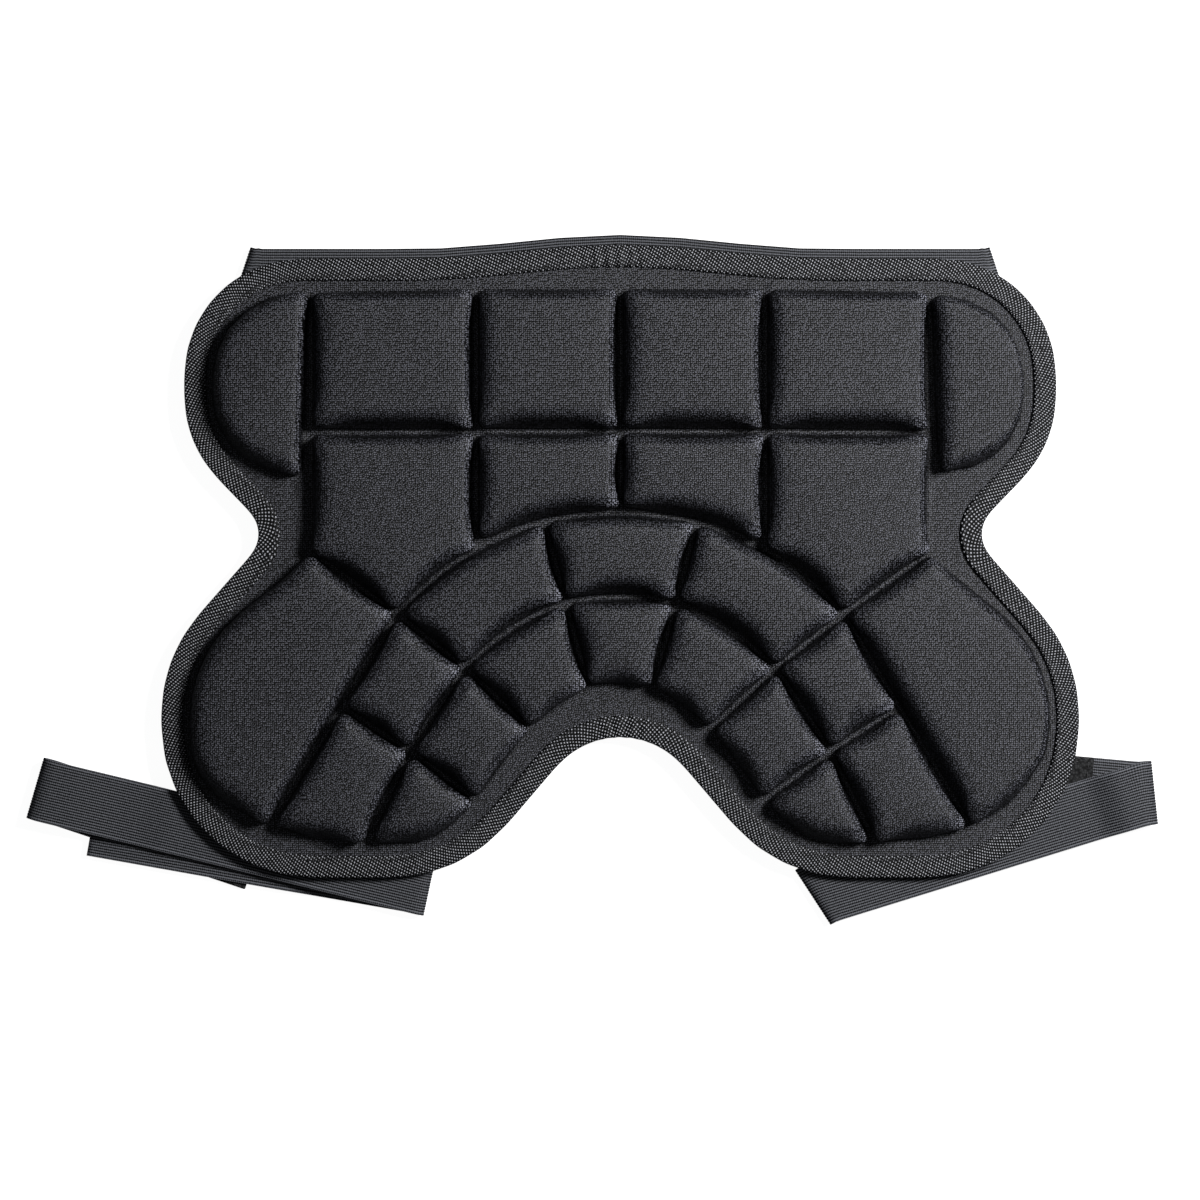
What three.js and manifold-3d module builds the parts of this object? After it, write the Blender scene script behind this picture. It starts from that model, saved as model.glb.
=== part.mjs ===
// A hip pad for skating and skiing, lying face up on its own straps. Millimetres, +Z up.
// The pad is one hot-pressed sheet of foam and knit cloth: a thin flange with raised cushion blocks.
// Binding tape wraps its cut edge. An elastic waist belt is sewn behind the top edge, and an elastic
// leg strap behind each lower lobe. Belt and straps are closed loops with hook-and-loop fasteners.

import * as THREE from 'three';
import { mergeVertices } from 'three/addons/utils/BufferGeometryUtils.js';
import Module from 'manifold-3d';

// Outline of the pad, measured over the binding
const padWidth = 360; // across the lower lobes
const padHeight = 243; // foot of the lobes to the ends of the top edge
const topRise = 5.5; // the middle of the top edge stands this much above its ends
const topRiseHalfWidth = 80;
const upperLobeRadius = 46;
const sideWaistRadius = 11.5;
const lowerLobeRadius = 60;
const notchRadius = 32;
const arcStep = 13; // degrees of arc to each straight facet

// Section of the moulded pad
const flangeThickness = 3;
const blockHeight = 12; // crown of a cushion block above the flange
const blockWallRun = 4.8; // level distance from a block's foot to its shoulder
const blockCornerRadius = 3; // at the foot
const shoulderRounding = 0.75; // growth of a corner's radius for each millimetre in from the foot
const channelWidth = 3.5; // between the feet of two blocks
const ringOneRadius = 114; // channel over the upper ring of blocks
const ringTwoRadius = 79; // channel between the two rings of blocks

// Binding tape
const tapeThickness = 0.8;
const tapeCover = 8.7; // how far the tape reaches in from the edge, on both faces

// Elastic waist belt
const beltWidth = 40;
const beltThickness = 1.5;
const beltAboveEdge = 4; // the belt shows this much above the pad's top edge
const beltFoldInset = 31; // fold's middle in from the widest line of the pad
const beltArmLength = 220; // from a fold to the end behind the pad
const beltFoldLean = 18.4; // degrees

// Elastic leg straps
const strapWidth = 25;
const strapThickness = 1.2;
const strapLoopHeight = 9.6; // rounded outer end of each strap's loop
const patchThickness = 0.9; // hook-and-loop fastener
const clearance = 0.3; // between pieces that are sewn or pressed together

// Levels from the floor up. Under the pad lie a band, its fastener and the band's other end,
// and for the straps the sewn run as well.
const loopSlack = 1; // between a strap's upper run and the free end inside the loop
const strapPatchLevel = strapThickness + clearance;
const overStrapPatch = strapPatchLevel + patchThickness + clearance;
const strapStack = overStrapPatch + 2 * strapThickness + loopSlack;
const beltPatchLevel = beltThickness + clearance;
const overBeltPatch = beltPatchLevel + patchThickness + clearance;
const beltStack = overBeltPatch + beltThickness;
const padBack = Math.max(strapStack, beltStack) + clearance;
const strapUpperLevel = padBack - clearance - strapThickness / 2;
const beltUpperLevel = padBack - clearance - beltThickness / 2;
const tapeRoom = tapeThickness + clearance; // between the tape's outside and the flange in it
const flangeTop = padBack + flangeThickness;

const halfWidth = padWidth / 2;
const radians = THREE.MathUtils.degToRad;
const smooth = (share) => THREE.MathUtils.smoothstep(share, 0, 1);

// Named places on the pad's right half: across is a share of half its width, up of its height
const at = (across, up) => new THREE.Vector2(across * halfWidth, up * padHeight);
const onRing = (across, apexUp, radius) => {
  const x = across * halfWidth;
  const drop = radius - Math.sqrt(Math.max(radius * radius - x * x, 0));
  return new THREE.Vector2(x, apexUp * padHeight - drop);
};
const ringOne = (across) => onRing(across, 0.594, ringOneRadius);
const ringTwo = (across) => onRing(across, 0.4584, ringTwoRadius);

const outlineCorners = [
  { place: at(0.95, 1), radius: upperLobeRadius },
  { place: at(0.95, 0.699), radius: upperLobeRadius },
  { place: at(0.764, 0.5565), radius: sideWaistRadius },
  { place: at(1, 0.3576), radius: lowerLobeRadius },
  { place: at(1, 0), radius: lowerLobeRadius },
  { place: at(0.343, 0), radius: lowerLobeRadius },
];
const notchPeak = { place: at(0, 0.298), radius: notchRadius };

// Where channels meet or end. Blocks are the cells between them.
const places = {
  crestMiddle: at(0, 0.958),
  crestInner: at(0.314, 0.958),
  crestOuter: at(0.672, 0.953),
  rowMiddle: at(0, 0.721),
  rowInner: at(0.314, 0.72),
  rowOuter: at(0.672, 0.7187),
  hipPoint: at(0.672, 0.526),
  ringOneTop: ringOne(0),
  ringOneInner: ringOne(0.166),
  ringOneQuarter: ringOne(0.24),
  ringOneOuter: ringOne(0.314),
  ringOneLow: ringOne(0.4),
  ringOneEnd: ringOne(0.485),
  ringTwoTop: ringTwo(0),
  ringTwoInner: ringTwo(0.12),
  ringTwoMiddle: ringTwo(0.23),
  ringTwoEnd: ringTwo(0.338),
  tailMiddle: at(0, 0.31),
  tailOuter: at(0.07, 0.31),
  notchUpper: at(0.194, 0.24),
  notchLower: at(0.308, 0.125),
  crossing: at(0.456, 0.206),
  thighSplit: at(0.605, 0.277),
  footOuter: at(0.764, 0.082),
  footMiddle: at(0.668, 0.062),
  footInner: at(0.555, 0.056),
  footCorner: at(0.406, 0.051),
  thighUpper: at(0.942, 0.366),
  thighLower: at(0.942, 0.137),
  moonTop: at(0.668, 0.953),
  moonTopCorner: at(0.9, 0.953),
  moonFootCorner: at(0.9, 0.641),
  moonFoot: at(0.684, 0.641),
};

// Each block on one half, with the places round it. A number after a place is its own corner radius.
const halfBlocks = [
  ['moonTop', 'moonTopCorner', 36, 'moonFootCorner', 36, 'moonFoot'],
  ['crestInner', 'crestOuter', 'rowOuter', 'rowInner'],
  ['crestMiddle', 'crestInner', 'rowInner', 'rowMiddle'],
  ['rowInner', 'rowOuter', 'hipPoint', 'ringOneEnd', 'ringOneLow', ringOneRadius, 'ringOneOuter'],
  ['rowMiddle', 'rowInner', 'ringOneOuter', 'ringOneQuarter', ringOneRadius,
    'ringOneInner', ringOneRadius, 'ringOneTop'],
  ['ringOneInner', 'ringOneOuter', ringOneRadius, 'ringOneLow', ringOneRadius, 'ringOneEnd',
    'ringTwoEnd', 'ringTwoMiddle', ringTwoRadius, 'ringTwoInner'],
  ['ringTwoInner', 'ringTwoMiddle', ringTwoRadius, 'ringTwoEnd', 'notchUpper', 'tailOuter'],
  ['ringOneEnd', 'thighSplit', 'crossing', 'ringTwoEnd'],
  ['ringTwoEnd', 'crossing', 'notchLower', 'notchUpper'],
  ['thighSplit', 'footOuter', 'footMiddle', 0, 'footInner', 'crossing'],
  ['crossing', 'footInner', 'footCorner', 29, 'notchLower'],
  ['ringOneEnd', 'hipPoint', 'thighUpper', 55, 'thighLower', 26, 'footOuter', 'thighSplit', 0],
];
// Blocks on the middle line: one half of their places, top to bottom
const middleBlocks = [
  ['ringOneTop', ringOneRadius, 'ringOneInner', 'ringTwoInner', 'ringTwoTop', ringTwoRadius],
  ['ringTwoTop', ringTwoRadius, 'ringTwoInner', 'tailOuter', 'tailMiddle', 0],
];

// Rings of a block from foot to crown, as shares of blockWallRun and blockHeight
const blockProfile = [
  { run: 0, rise: 0 },
  { run: 0.13, rise: 0.45 },
  { run: 0.42, rise: 0.78 },
  { run: 1, rise: 0.93 },
];
const crownRing = { towardMiddle: 0.5, rise: 0.985 };

const mirrored = (point) => new THREE.Vector2(-point.x, point.y);

// A closed outline with every corner rounded to its radius, or less where its sides are too short
function roundCorners(corners, facetsFor) {
  const usableShare = 0.98; // of a side, so that two arcs on it don't quite meet
  const sides = corners.map(({ place, radius }, i) => {
    const into = corners[(i + corners.length - 1) % corners.length].place.clone().sub(place);
    const out = corners[(i + 1) % corners.length].place.clone().sub(place);
    const halfAngle = Math.acos(into.dot(out) / into.length() / out.length()) / 2;
    return { into, out, halfAngle, reach: radius / Math.tan(halfAngle) };
  });
  return corners.flatMap((corner, i) => {
    const { place, radius } = corner;
    if (!radius) return [place];
    const { into, out, halfAngle, reach: wanted } = sides[i];
    const before = sides[(i + corners.length - 1) % corners.length].reach;
    const after = sides[(i + 1) % corners.length].reach;
    const shareBefore = (usableShare * into.length()) / (wanted + before);
    const shareAfter = (usableShare * out.length()) / (wanted + after);
    const reach = wanted * Math.min(1, shareBefore, shareAfter);
    const start = place.clone().addScaledVector(into.normalize(), reach);
    const end = place.clone().addScaledVector(out.normalize(), reach);
    const centre = place.clone().addScaledVector(into.add(out).normalize(), reach / Math.cos(halfAngle));
    const turn = Math.PI - 2 * halfAngle;
    const side = Math.sign(start.clone().sub(centre).cross(end.clone().sub(centre)));
    const facets = facetsFor(corner, turn);
    return Array.from({ length: facets + 1 }, (_, step) =>
      start.clone().rotateAround(centre, (side * turn * step) / facets));
  });
}

// Every point of a closed outline moved into it, so that its sides all move by the same distance
function inset(points, distance) {
  const sharpestShare = 0.2; // keeps the point of a very sharp corner within reach
  return points.map((point, i) => {
    const before = points[(i + points.length - 1) % points.length];
    const after = points[(i + 1) % points.length];
    const inward = (a, b) => new THREE.Vector2(a.y - b.y, b.x - a.x).normalize();
    const first = inward(before, point);
    const second = inward(point, after);
    const middle = first.clone().add(second).normalize();
    return point.clone().addScaledVector(middle, distance / Math.max(middle.dot(first), sharpestShare));
  });
}

const topRiseAt = (x) => topRise * (1 - smooth(Math.abs(x) / topRiseHalfWidth));

// Anticlockwise outline of the pad, over the binding
function padOutline() {
  const left = outlineCorners.map(({ place, radius }) => ({ place: mirrored(place), radius }));
  const right = [...outlineCorners].reverse();
  const corners = [...left, notchPeak, ...right];
  const sides = roundCorners(corners, (corner, turn) =>
    Math.max(2, Math.ceil(THREE.MathUtils.radToDeg(turn) / arcStep)));
  const topSteps = 8;
  const top = Array.from({ length: topSteps + 1 }, (_, i) => {
    const x = topRiseHalfWidth * (1 - (2 * i) / topSteps);
    return new THREE.Vector2(x, padHeight + topRiseAt(x));
  });
  return [...top, ...sides];
}

function anticlockwise(corners) {
  const isAnticlockwise = THREE.ShapeUtils.area(corners.map(({ place }) => place)) > 0;
  return isAnticlockwise ? corners : corners.reverse();
}

// A block's places, with the radius that each corner gets
function cornersOf(row) {
  return row.flatMap((name, i) =>
    (typeof name === 'string'
      ? [{ place: places[name], radius: typeof row[i + 1] === 'number' ? row[i + 1] : blockCornerRadius }]
      : []));
}

function blockCorners(row) {
  return anticlockwise(cornersOf(row));
}

function mirroredCorners(corners) {
  return corners.map(({ place, radius }) => ({ place: mirrored(place), radius })).reverse();
}

function middleCorners(row) {
  const half = cornersOf(row);
  const other = mirroredCorners(half.filter(({ place }) => place.x > 0));
  return anticlockwise([...half, ...other]);
}

// One ring round a block: its sharp cell drawn in, then its corners rounded. The small corners are
// rounder at the shoulder than at the foot, and the wide arcs keep their centres.
function blockRing(corners, distance) {
  const sharp = inset(corners.map(({ place }) => place), distance);
  const isArc = (radius) => radius > 2 * blockCornerRadius;
  const drawnIn = corners.map(({ radius }, i) => {
    const rounder = radius + shoulderRounding * (distance - channelWidth / 2);
    const drawn = isArc(radius) ? Math.max(radius - distance, blockCornerRadius) : rounder;
    return { place: sharp[i], radius: radius && drawn, isArc: isArc(radius) };
  });
  return roundCorners(drawnIn, ({ isArc: wide }) => (wide ? 5 : 3));
}

const lift = (points, z) => points.map((point) => new THREE.Vector3(point.x, point.y, z));

// Side faces between rings of equal length, each given as points in space
function bridge(rings, isLoop) {
  const count = rings[0].length;
  const index = [];
  rings.slice(isLoop ? 0 : 1).forEach((_, i) => {
    const lower = i * count;
    const upper = ((i + 1) % rings.length) * count;
    for (let j = 0; j < count; j += 1) {
      const next = (j + 1) % count;
      index.push(lower + j, lower + next, upper + next);
      index.push(lower + j, upper + next, upper + j);
    }
  });
  return index;
}

function meshOf(points, index) {
  const geometry = new THREE.BufferGeometry();
  geometry.setFromPoints(points);
  geometry.setIndex(index);
  return geometry;
}

function middleOf(points) {
  return points.reduce((sum, point) => sum.add(point), new THREE.Vector3()).divideScalar(points.length);
}

// Closed solid through a row of rings. The last cap rises to its middle by capRise.
function loft(rings, capRise = 0) {
  const count = rings[0].length;
  const last = (rings.length - 1) * count;
  const points = rings.flat();
  const index = bridge(rings, false);
  const firstHub = points.push(middleOf(rings[0])) - 1;
  const lastHub = points.push(middleOf(rings.at(-1)).add(new THREE.Vector3(0, 0, capRise))) - 1;
  for (let j = 0; j < count; j += 1) {
    const next = (j + 1) % count;
    index.push(j, firstHub, next);
    index.push(last + j, last + next, lastHub);
  }
  return meshOf(points, index);
}

const wasm = await Module();
wasm.setup();

function toSolid(geometry) {
  const bare = new THREE.BufferGeometry();
  bare.setAttribute('position', geometry.getAttribute('position'));
  if (geometry.index) bare.setIndex(geometry.index);
  const merged = mergeVertices(bare, 1e-5);
  return new wasm.Manifold(new wasm.Mesh({
    numProp: 3,
    vertProperties: new Float32Array(merged.getAttribute('position').array),
    triVerts: new Uint32Array(merged.index.array),
  }));
}

function toGeometry(solid) {
  const mesh = solid.getMesh();
  const geometry = new THREE.BufferGeometry();
  geometry.setAttribute('position', new THREE.Float32BufferAttribute(mesh.vertProperties, 3));
  geometry.setIndex(new THREE.Uint32BufferAttribute(mesh.triVerts, 1));
  return geometry;
}

function plate(points, low, high) {
  const shape = new THREE.Shape(points);
  const geometry = new THREE.ExtrudeGeometry(shape, { depth: high - low, bevelEnabled: false });
  return geometry.translate(0, 0, low);
}

// Closed block from inside the flange up to its crown
function cushionBlock(corners) {
  const foot = blockRing(corners, channelWidth / 2);
  const rings = blockProfile.map(({ run, rise }) =>
    lift(blockRing(corners, channelWidth / 2 + run * blockWallRun), flangeTop + rise * blockHeight));
  const middle = middleOf(rings.at(-1));
  const crown = rings.at(-1).map((point) => point.clone().lerp(middle, crownRing.towardMiddle)
    .setZ(flangeTop + crownRing.rise * blockHeight));
  const root = lift(foot, flangeTop - flangeThickness / 3);
  return loft([root, ...rings, crown], blockHeight * (1 - crownRing.rise));
}

// The flange, thinner under the tape so that the back stays flat, with every cushion block on it
function mouldedPad() {
  const outline = padOutline();
  const edge = plate(inset(outline, tapeRoom), padBack + tapeRoom, flangeTop);
  const back = plate(inset(outline, tapeCover + clearance), padBack, flangeTop);
  const half = halfBlocks.map(blockCorners);
  const blocks = [...half, ...half.map(mirroredCorners), ...middleBlocks.map(middleCorners)];
  const solids = [edge, back, ...blocks.map(cushionBlock)].map(toSolid);
  return toGeometry(solids.reduce((pad, solid) => pad.add(solid)));
}

// Tape folded round the pad's edge: a hooked section carried along the outline
function edgeBinding() {
  const outline = padOutline();
  const top = flangeTop + tapeRoom;
  const round = 1.2; // softens the two folds of the tape
  const bevel = round / 5;
  const section = [
    [tapeCover, top - tapeThickness],
    [tapeThickness, top - tapeThickness],
    [tapeThickness, padBack + tapeThickness],
    [tapeCover, padBack + tapeThickness],
    [tapeCover, padBack],
    [round, padBack],
    [bevel, padBack + round / 3],
    [bevel, top - round / 3],
    [round, top],
    [tapeCover, top],
  ];
  const rings = section.map(([distance, z]) => lift(inset(outline, distance), z));
  return meshOf(rings.flat(), bridge(rings, true));
}

// A band is a row of stations. Each has its middle, the way along the band, the line across it,
// and half the band's width on that line.

// Straight stretch of a band between two places, at a height that may change on the way
function bandRun({ from, to, width, height, steps, skipFirst, skipLast }) {
  const ahead = to.clone().sub(from);
  const length = ahead.length();
  ahead.normalize();
  const across = new THREE.Vector3(-ahead.y, ahead.x, 0);
  const stations = [];
  for (let i = 0; i <= steps; i += 1) {
    const distance = THREE.MathUtils.lerp(skipFirst, length - skipLast, i / steps);
    const step = 0.01;
    const slope = (height(distance + step) - height(distance - step)) / (2 * step);
    const place = from.clone().addScaledVector(ahead, distance);
    stations.push({
      middle: new THREE.Vector3(place.x, place.y, height(distance)),
      along: new THREE.Vector3(ahead.x, ahead.y, slope).normalize(),
      across,
      half: width / 2,
    });
  }
  return stations;
}

// Half turn of a band round a level fold line, from one height to another
function bandFold({ middle, outward, across, half, from, to, steps }) {
  const radius = Math.abs(from - to) / 2;
  const axisHeight = (from + to) / 2;
  const down = Math.sign(from - to);
  return Array.from({ length: steps + 1 }, (_, i) => {
    const angle = (Math.PI * i) / steps;
    const reach = radius * Math.sin(angle);
    const height = axisHeight + down * radius * Math.cos(angle);
    return {
      middle: new THREE.Vector3(middle.x + outward.x * reach, middle.y + outward.y * reach, height),
      along: new THREE.Vector3(outward.x, outward.y, 0).multiplyScalar(Math.cos(angle))
        .setZ(-down * Math.sin(angle)),
      across,
      half,
    };
  });
}

// Solid band through its stations. A fold turns the band over, so each line across it is kept
// on the side of the one before.
function bandSolid(stations, thickness) {
  let side = stations[0].across;
  const rings = stations.map(({ middle, along, across, half }) => {
    side = across.clone().multiplyScalar(Math.sign(across.dot(side)));
    const normal = along.clone().cross(side).normalize();
    return [[-1, -1], [1, -1], [1, 1], [-1, 1]].map(([u, v]) => middle.clone()
      .addScaledVector(side, u * half)
      .addScaledVector(normal, (v * thickness) / 2));
  });
  return loft(rings);
}

const heading = (angle) => new THREE.Vector2(Math.cos(angle), Math.sin(angle));

// A fold's line, the way out of it, and the heading of the run that leaves it, mirrored in the line
function foldAway(angle, lean) {
  const foldLine = angle + Math.PI / 2 + lean;
  const across = heading(foldLine);
  const outward = new THREE.Vector2(across.y, -across.x);
  return { across: new THREE.Vector3(across.x, across.y, 0), outward, leaving: 2 * foldLine - angle };
}

// Plan of the waist belt. Its two arms meet on the middle line, behind the pad.
const beltFoldX = halfWidth - beltFoldInset;
const beltY = padHeight + beltAboveEdge - beltWidth / 2;
const beltLean = radians(beltFoldLean);
const beltFloor = beltThickness / 2;
const beltSkip = (beltWidth / 2) * Math.tan(beltLean) + beltThickness; // fold's room at a run's end
const armMeeting = beltFoldX / Math.cos(2 * beltLean); // along an arm, to the middle line
const armCrossing = beltWidth / 2 / Math.tan(2 * beltLean) + beltThickness; // half the stretch they share
const armRamp = beltWidth;

// Sewn run of the waist belt, which follows the arch of the pad's top edge
function beltSewnRun() {
  const steps = 12;
  return Array.from({ length: steps + 1 }, (_, i) => {
    const x = THREE.MathUtils.lerp(beltSkip - beltFoldX, beltFoldX - beltSkip, i / steps);
    return {
      middle: new THREE.Vector3(x, beltY + topRiseAt(x), beltUpperLevel),
      along: new THREE.Vector3(1, 0, 0),
      across: new THREE.Vector3(0, 1, 0),
      half: beltWidth / 2,
    };
  });
}

// The belt on one side of the pad: its slanted fold, then its arm, which climbs to endLevel
function beltSide(side, endLevel) {
  const fold = new THREE.Vector2(side * beltFoldX, beltY);
  const { across, outward, leaving } = foldAway(side > 0 ? 0 : Math.PI, side * beltLean);
  const turn = bandFold({
    middle: fold,
    outward,
    across,
    half: beltWidth / 2 / Math.cos(beltLean),
    from: beltUpperLevel,
    to: beltFloor,
    steps: 6,
  });
  const climbed = armMeeting - armCrossing;
  const arm = bandRun({
    from: fold,
    to: fold.clone().addScaledVector(heading(leaving), beltArmLength),
    width: beltWidth,
    height: (distance) => THREE.MathUtils.lerp(
      beltFloor, endLevel, smooth((distance - climbed + armRamp) / armRamp)),
    steps: 9,
    skipFirst: beltSkip,
    skipLast: 0,
  });
  return [...turn, ...arm];
}

function waistBelt() {
  const left = beltSide(-1, beltFloor).reverse()
    .map((station) => ({ ...station, along: station.along.negate() }));
  const right = beltSide(1, overBeltPatch + beltThickness / 2);
  return bandSolid([...left, ...beltSewnRun(), ...right], beltThickness);
}

// Fastener patch between the two ends of the waist belt
function beltPatch() {
  const length = 0.9 * beltWidth;
  const middleUp = beltY - beltFoldX * Math.tan(2 * beltLean);
  return bandSolid(bandRun({
    from: new THREE.Vector2(-length / 2, middleUp),
    to: new THREE.Vector2(length / 2, middleUp),
    width: length / 2,
    height: () => beltPatchLevel + patchThickness / 2,
    steps: 1,
    skipFirst: 0,
    skipLast: 0,
  }), patchThickness);
}

// Where each leg strap lies. Its outer fold stands overhang beyond the pad, and outerUp of the pad's
// height up. Its inner fold is at innerAcross of half the width. The leans are the slants of the folds
// in degrees. The rest are lengths from a fold: to the two ends, of the free end's climb over the
// fastener, and of the fastener.
const strapLayouts = {
  left: {
    side: -1, overhang: 45, outerUp: 0.141, innerAcross: 0.4288, innerUp: -0.0095,
    outerLean: -2.3, innerLean: 1.9, floorEnd: 70, freeEnd: 132, rampStart: 30, rampEnd: 62,
    patchFrom: 26, patchTo: 86,
  },
  right: {
    side: 1, overhang: 25, outerUp: 0.1365, innerAcross: 0.4323, innerUp: -0.0257,
    outerLean: -11.2, innerLean: 15.8, floorEnd: 125, freeEnd: 102, rampStart: 7, rampEnd: 33,
    patchFrom: 20, patchTo: 96,
  },
};

function strapFrame({ side, overhang, outerUp, innerAcross, innerUp, outerLean, innerLean }) {
  const outer = new THREE.Vector2(side * (halfWidth + overhang), outerUp * padHeight);
  const inner = new THREE.Vector2(side * innerAcross * halfWidth, innerUp * padHeight);
  const outwardAngle = outer.clone().sub(inner).angle();
  return {
    outer,
    inner,
    atOuter: foldAway(outwardAngle, radians(outerLean)),
    atInner: foldAway(outwardAngle + Math.PI, radians(innerLean)),
  };
}

function legStrap(layout) {
  const { outer, inner, atOuter, atInner } = strapFrame(layout);
  const { overhang, outerLean, innerLean, floorEnd, freeEnd, rampStart, rampEnd } = layout;
  const floorLevel = strapThickness / 2;
  const loopLevel = strapLoopHeight - strapThickness / 2;
  const roundLength = overhang - strapWidth / 4;
  const skip = (lean) => (strapWidth / 2) * Math.tan(Math.abs(radians(lean))) + strapThickness;
  const foldHalf = (lean) => strapWidth / 2 / Math.cos(radians(lean));
  const floorRun = bandRun({
    from: outer.clone().addScaledVector(heading(atOuter.leaving), floorEnd),
    to: outer,
    width: strapWidth,
    height: () => floorLevel,
    steps: 2,
    skipFirst: 0,
    skipLast: skip(outerLean),
  });
  const outerFold = bandFold({
    middle: outer, outward: atOuter.outward, across: atOuter.across, half: foldHalf(outerLean),
    from: floorLevel, to: loopLevel, steps: 8,
  });
  const sewnRun = bandRun({
    from: outer,
    to: inner,
    width: strapWidth,
    height: (distance) => THREE.MathUtils.lerp(
      loopLevel, strapUpperLevel, smooth(distance / roundLength)),
    steps: 16,
    skipFirst: skip(outerLean),
    skipLast: skip(innerLean),
  });
  const innerFold = bandFold({
    middle: inner, outward: atInner.outward, across: atInner.across, half: foldHalf(innerLean),
    from: strapUpperLevel, to: floorLevel, steps: 6,
  });
  const freeRun = bandRun({
    from: inner,
    to: inner.clone().addScaledVector(heading(atInner.leaving), freeEnd),
    width: strapWidth,
    height: (distance) => {
      const climbed = smooth((distance - rampStart) / (rampEnd - rampStart));
      return THREE.MathUtils.lerp(floorLevel, overStrapPatch + strapThickness / 2, climbed);
    },
    steps: 10,
    skipFirst: skip(innerLean),
    skipLast: 0,
  });
  return bandSolid([...floorRun, ...outerFold, ...sewnRun, ...innerFold, ...freeRun], strapThickness);
}

// Fastener patch on the floor run of a leg strap
function strapPatch(layout) {
  const { outer, atOuter } = strapFrame(layout);
  const ahead = heading(atOuter.leaving);
  return bandSolid(bandRun({
    from: outer.clone().addScaledVector(ahead, layout.patchFrom),
    to: outer.clone().addScaledVector(ahead, layout.patchTo),
    width: strapWidth - 2 * clearance,
    height: () => strapPatchLevel + patchThickness / 2,
    steps: 1,
    skipFirst: 0,
    skipLast: 0,
  }), patchThickness);
}

const knitCloth = new THREE.MeshStandardMaterial({ color: 0x1c1d20, roughness: 0.85, metalness: 0 });
const twillTape = new THREE.MeshStandardMaterial({ color: 0x26282b, roughness: 0.8, metalness: 0 });
const elastic = new THREE.MeshStandardMaterial({ color: 0x222427, roughness: 0.85, metalness: 0 });
const fastener = new THREE.MeshStandardMaterial({ color: 0x161718, roughness: 0.95, metalness: 0 });

const pieces = [
  ['moulded_pad', mouldedPad(), knitCloth],
  ['edge_binding', edgeBinding(), twillTape],
  ['waist_belt', waistBelt(), elastic],
  ['waist_fastener', beltPatch(), fastener],
  ['left_leg_strap', legStrap(strapLayouts.left), elastic],
  ['left_fastener', strapPatch(strapLayouts.left), fastener],
  ['right_leg_strap', legStrap(strapLayouts.right), elastic],
  ['right_fastener', strapPatch(strapLayouts.right), fastener],
];

const hipPad = new THREE.Group();
pieces.forEach(([name, geometry, material]) => {
  const mesh = new THREE.Mesh(geometry, material);
  mesh.name = name;
  hipPad.add(mesh);
});

// The origin is on the floor, under the middle of everything
const extent = new THREE.Box3().setFromObject(hipPad);
const centre = extent.getCenter(new THREE.Vector3());
hipPad.position.set(-centre.x, -centre.y, 0);

export default hipPad;
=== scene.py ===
import math

import bmesh
import bpy
import numpy as np
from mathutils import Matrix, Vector


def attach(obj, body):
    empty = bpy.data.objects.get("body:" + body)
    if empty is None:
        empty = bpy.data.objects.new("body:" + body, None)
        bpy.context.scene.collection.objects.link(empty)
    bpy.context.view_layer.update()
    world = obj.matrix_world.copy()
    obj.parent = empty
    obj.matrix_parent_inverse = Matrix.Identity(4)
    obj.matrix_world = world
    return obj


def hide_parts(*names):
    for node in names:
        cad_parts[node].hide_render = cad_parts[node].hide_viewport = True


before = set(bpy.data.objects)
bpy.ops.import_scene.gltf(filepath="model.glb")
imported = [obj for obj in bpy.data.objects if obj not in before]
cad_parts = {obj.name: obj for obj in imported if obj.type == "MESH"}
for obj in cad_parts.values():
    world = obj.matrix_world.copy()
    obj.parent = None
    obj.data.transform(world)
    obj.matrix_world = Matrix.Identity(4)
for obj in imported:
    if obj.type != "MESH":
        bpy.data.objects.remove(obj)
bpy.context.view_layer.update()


# Camera, floor and light
# The pad is photographed from straight above on a white sweep, with a long lens.
# One soft light stands to the right of it, a little towards the waist edge.
PHOTO_WIDTH = 0.4716  # metres of floor that the photograph covers
CAMERA_HEIGHT = 1.9
PHOTO_MIDDLE = (0.0031, -0.0078)
SENSOR = 36.0
SWEEP_GLOW = 0.95  # the sweep is lit from behind as well
SWEEP_DROP = 0.0002  # below the pad's straps
ROOM_GLOW = 0.04

camera_data = bpy.data.cameras.new("photo_camera")
camera_data.sensor_width = SENSOR
camera_data.lens = SENSOR * CAMERA_HEIGHT / PHOTO_WIDTH
camera = bpy.data.objects.new("photo_camera", camera_data)
camera.location = (*PHOTO_MIDDLE, CAMERA_HEIGHT)
bpy.context.scene.collection.objects.link(camera)
bpy.context.scene.camera = camera

bpy.ops.object.select_all(action="DESELECT")
bpy.ops.mesh.primitive_plane_add(size=8, location=(0, 0, -SWEEP_DROP))
floor = bpy.context.object
floor.name = "floor"
floor_material = bpy.data.materials.new("white_sweep")
floor_material.use_nodes = True
floor_shader = floor_material.node_tree.nodes["Principled BSDF"]
floor_shader.inputs["Base Color"].default_value = (0.92, 0.92, 0.92, 1)
floor_shader.inputs["Roughness"].default_value = 0.9
floor_shader.inputs["Emission Color"].default_value = (1, 1, 1, 1)
floor_shader.inputs["Emission Strength"].default_value = SWEEP_GLOW
floor.data.materials.append(floor_material)
floor.visible_diffuse = False  # so the bright sweep doesn't light the blocks' walls from below
floor.visible_glossy = False

world = bpy.data.worlds.new("studio")
world.use_nodes = True
world.node_tree.nodes["Background"].inputs["Color"].default_value = (0.95, 0.97, 1.0, 1)
world.node_tree.nodes["Background"].inputs["Strength"].default_value = ROOM_GLOW
bpy.context.scene.world = world
bpy.context.scene.view_settings.view_transform = "Standard"

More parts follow.
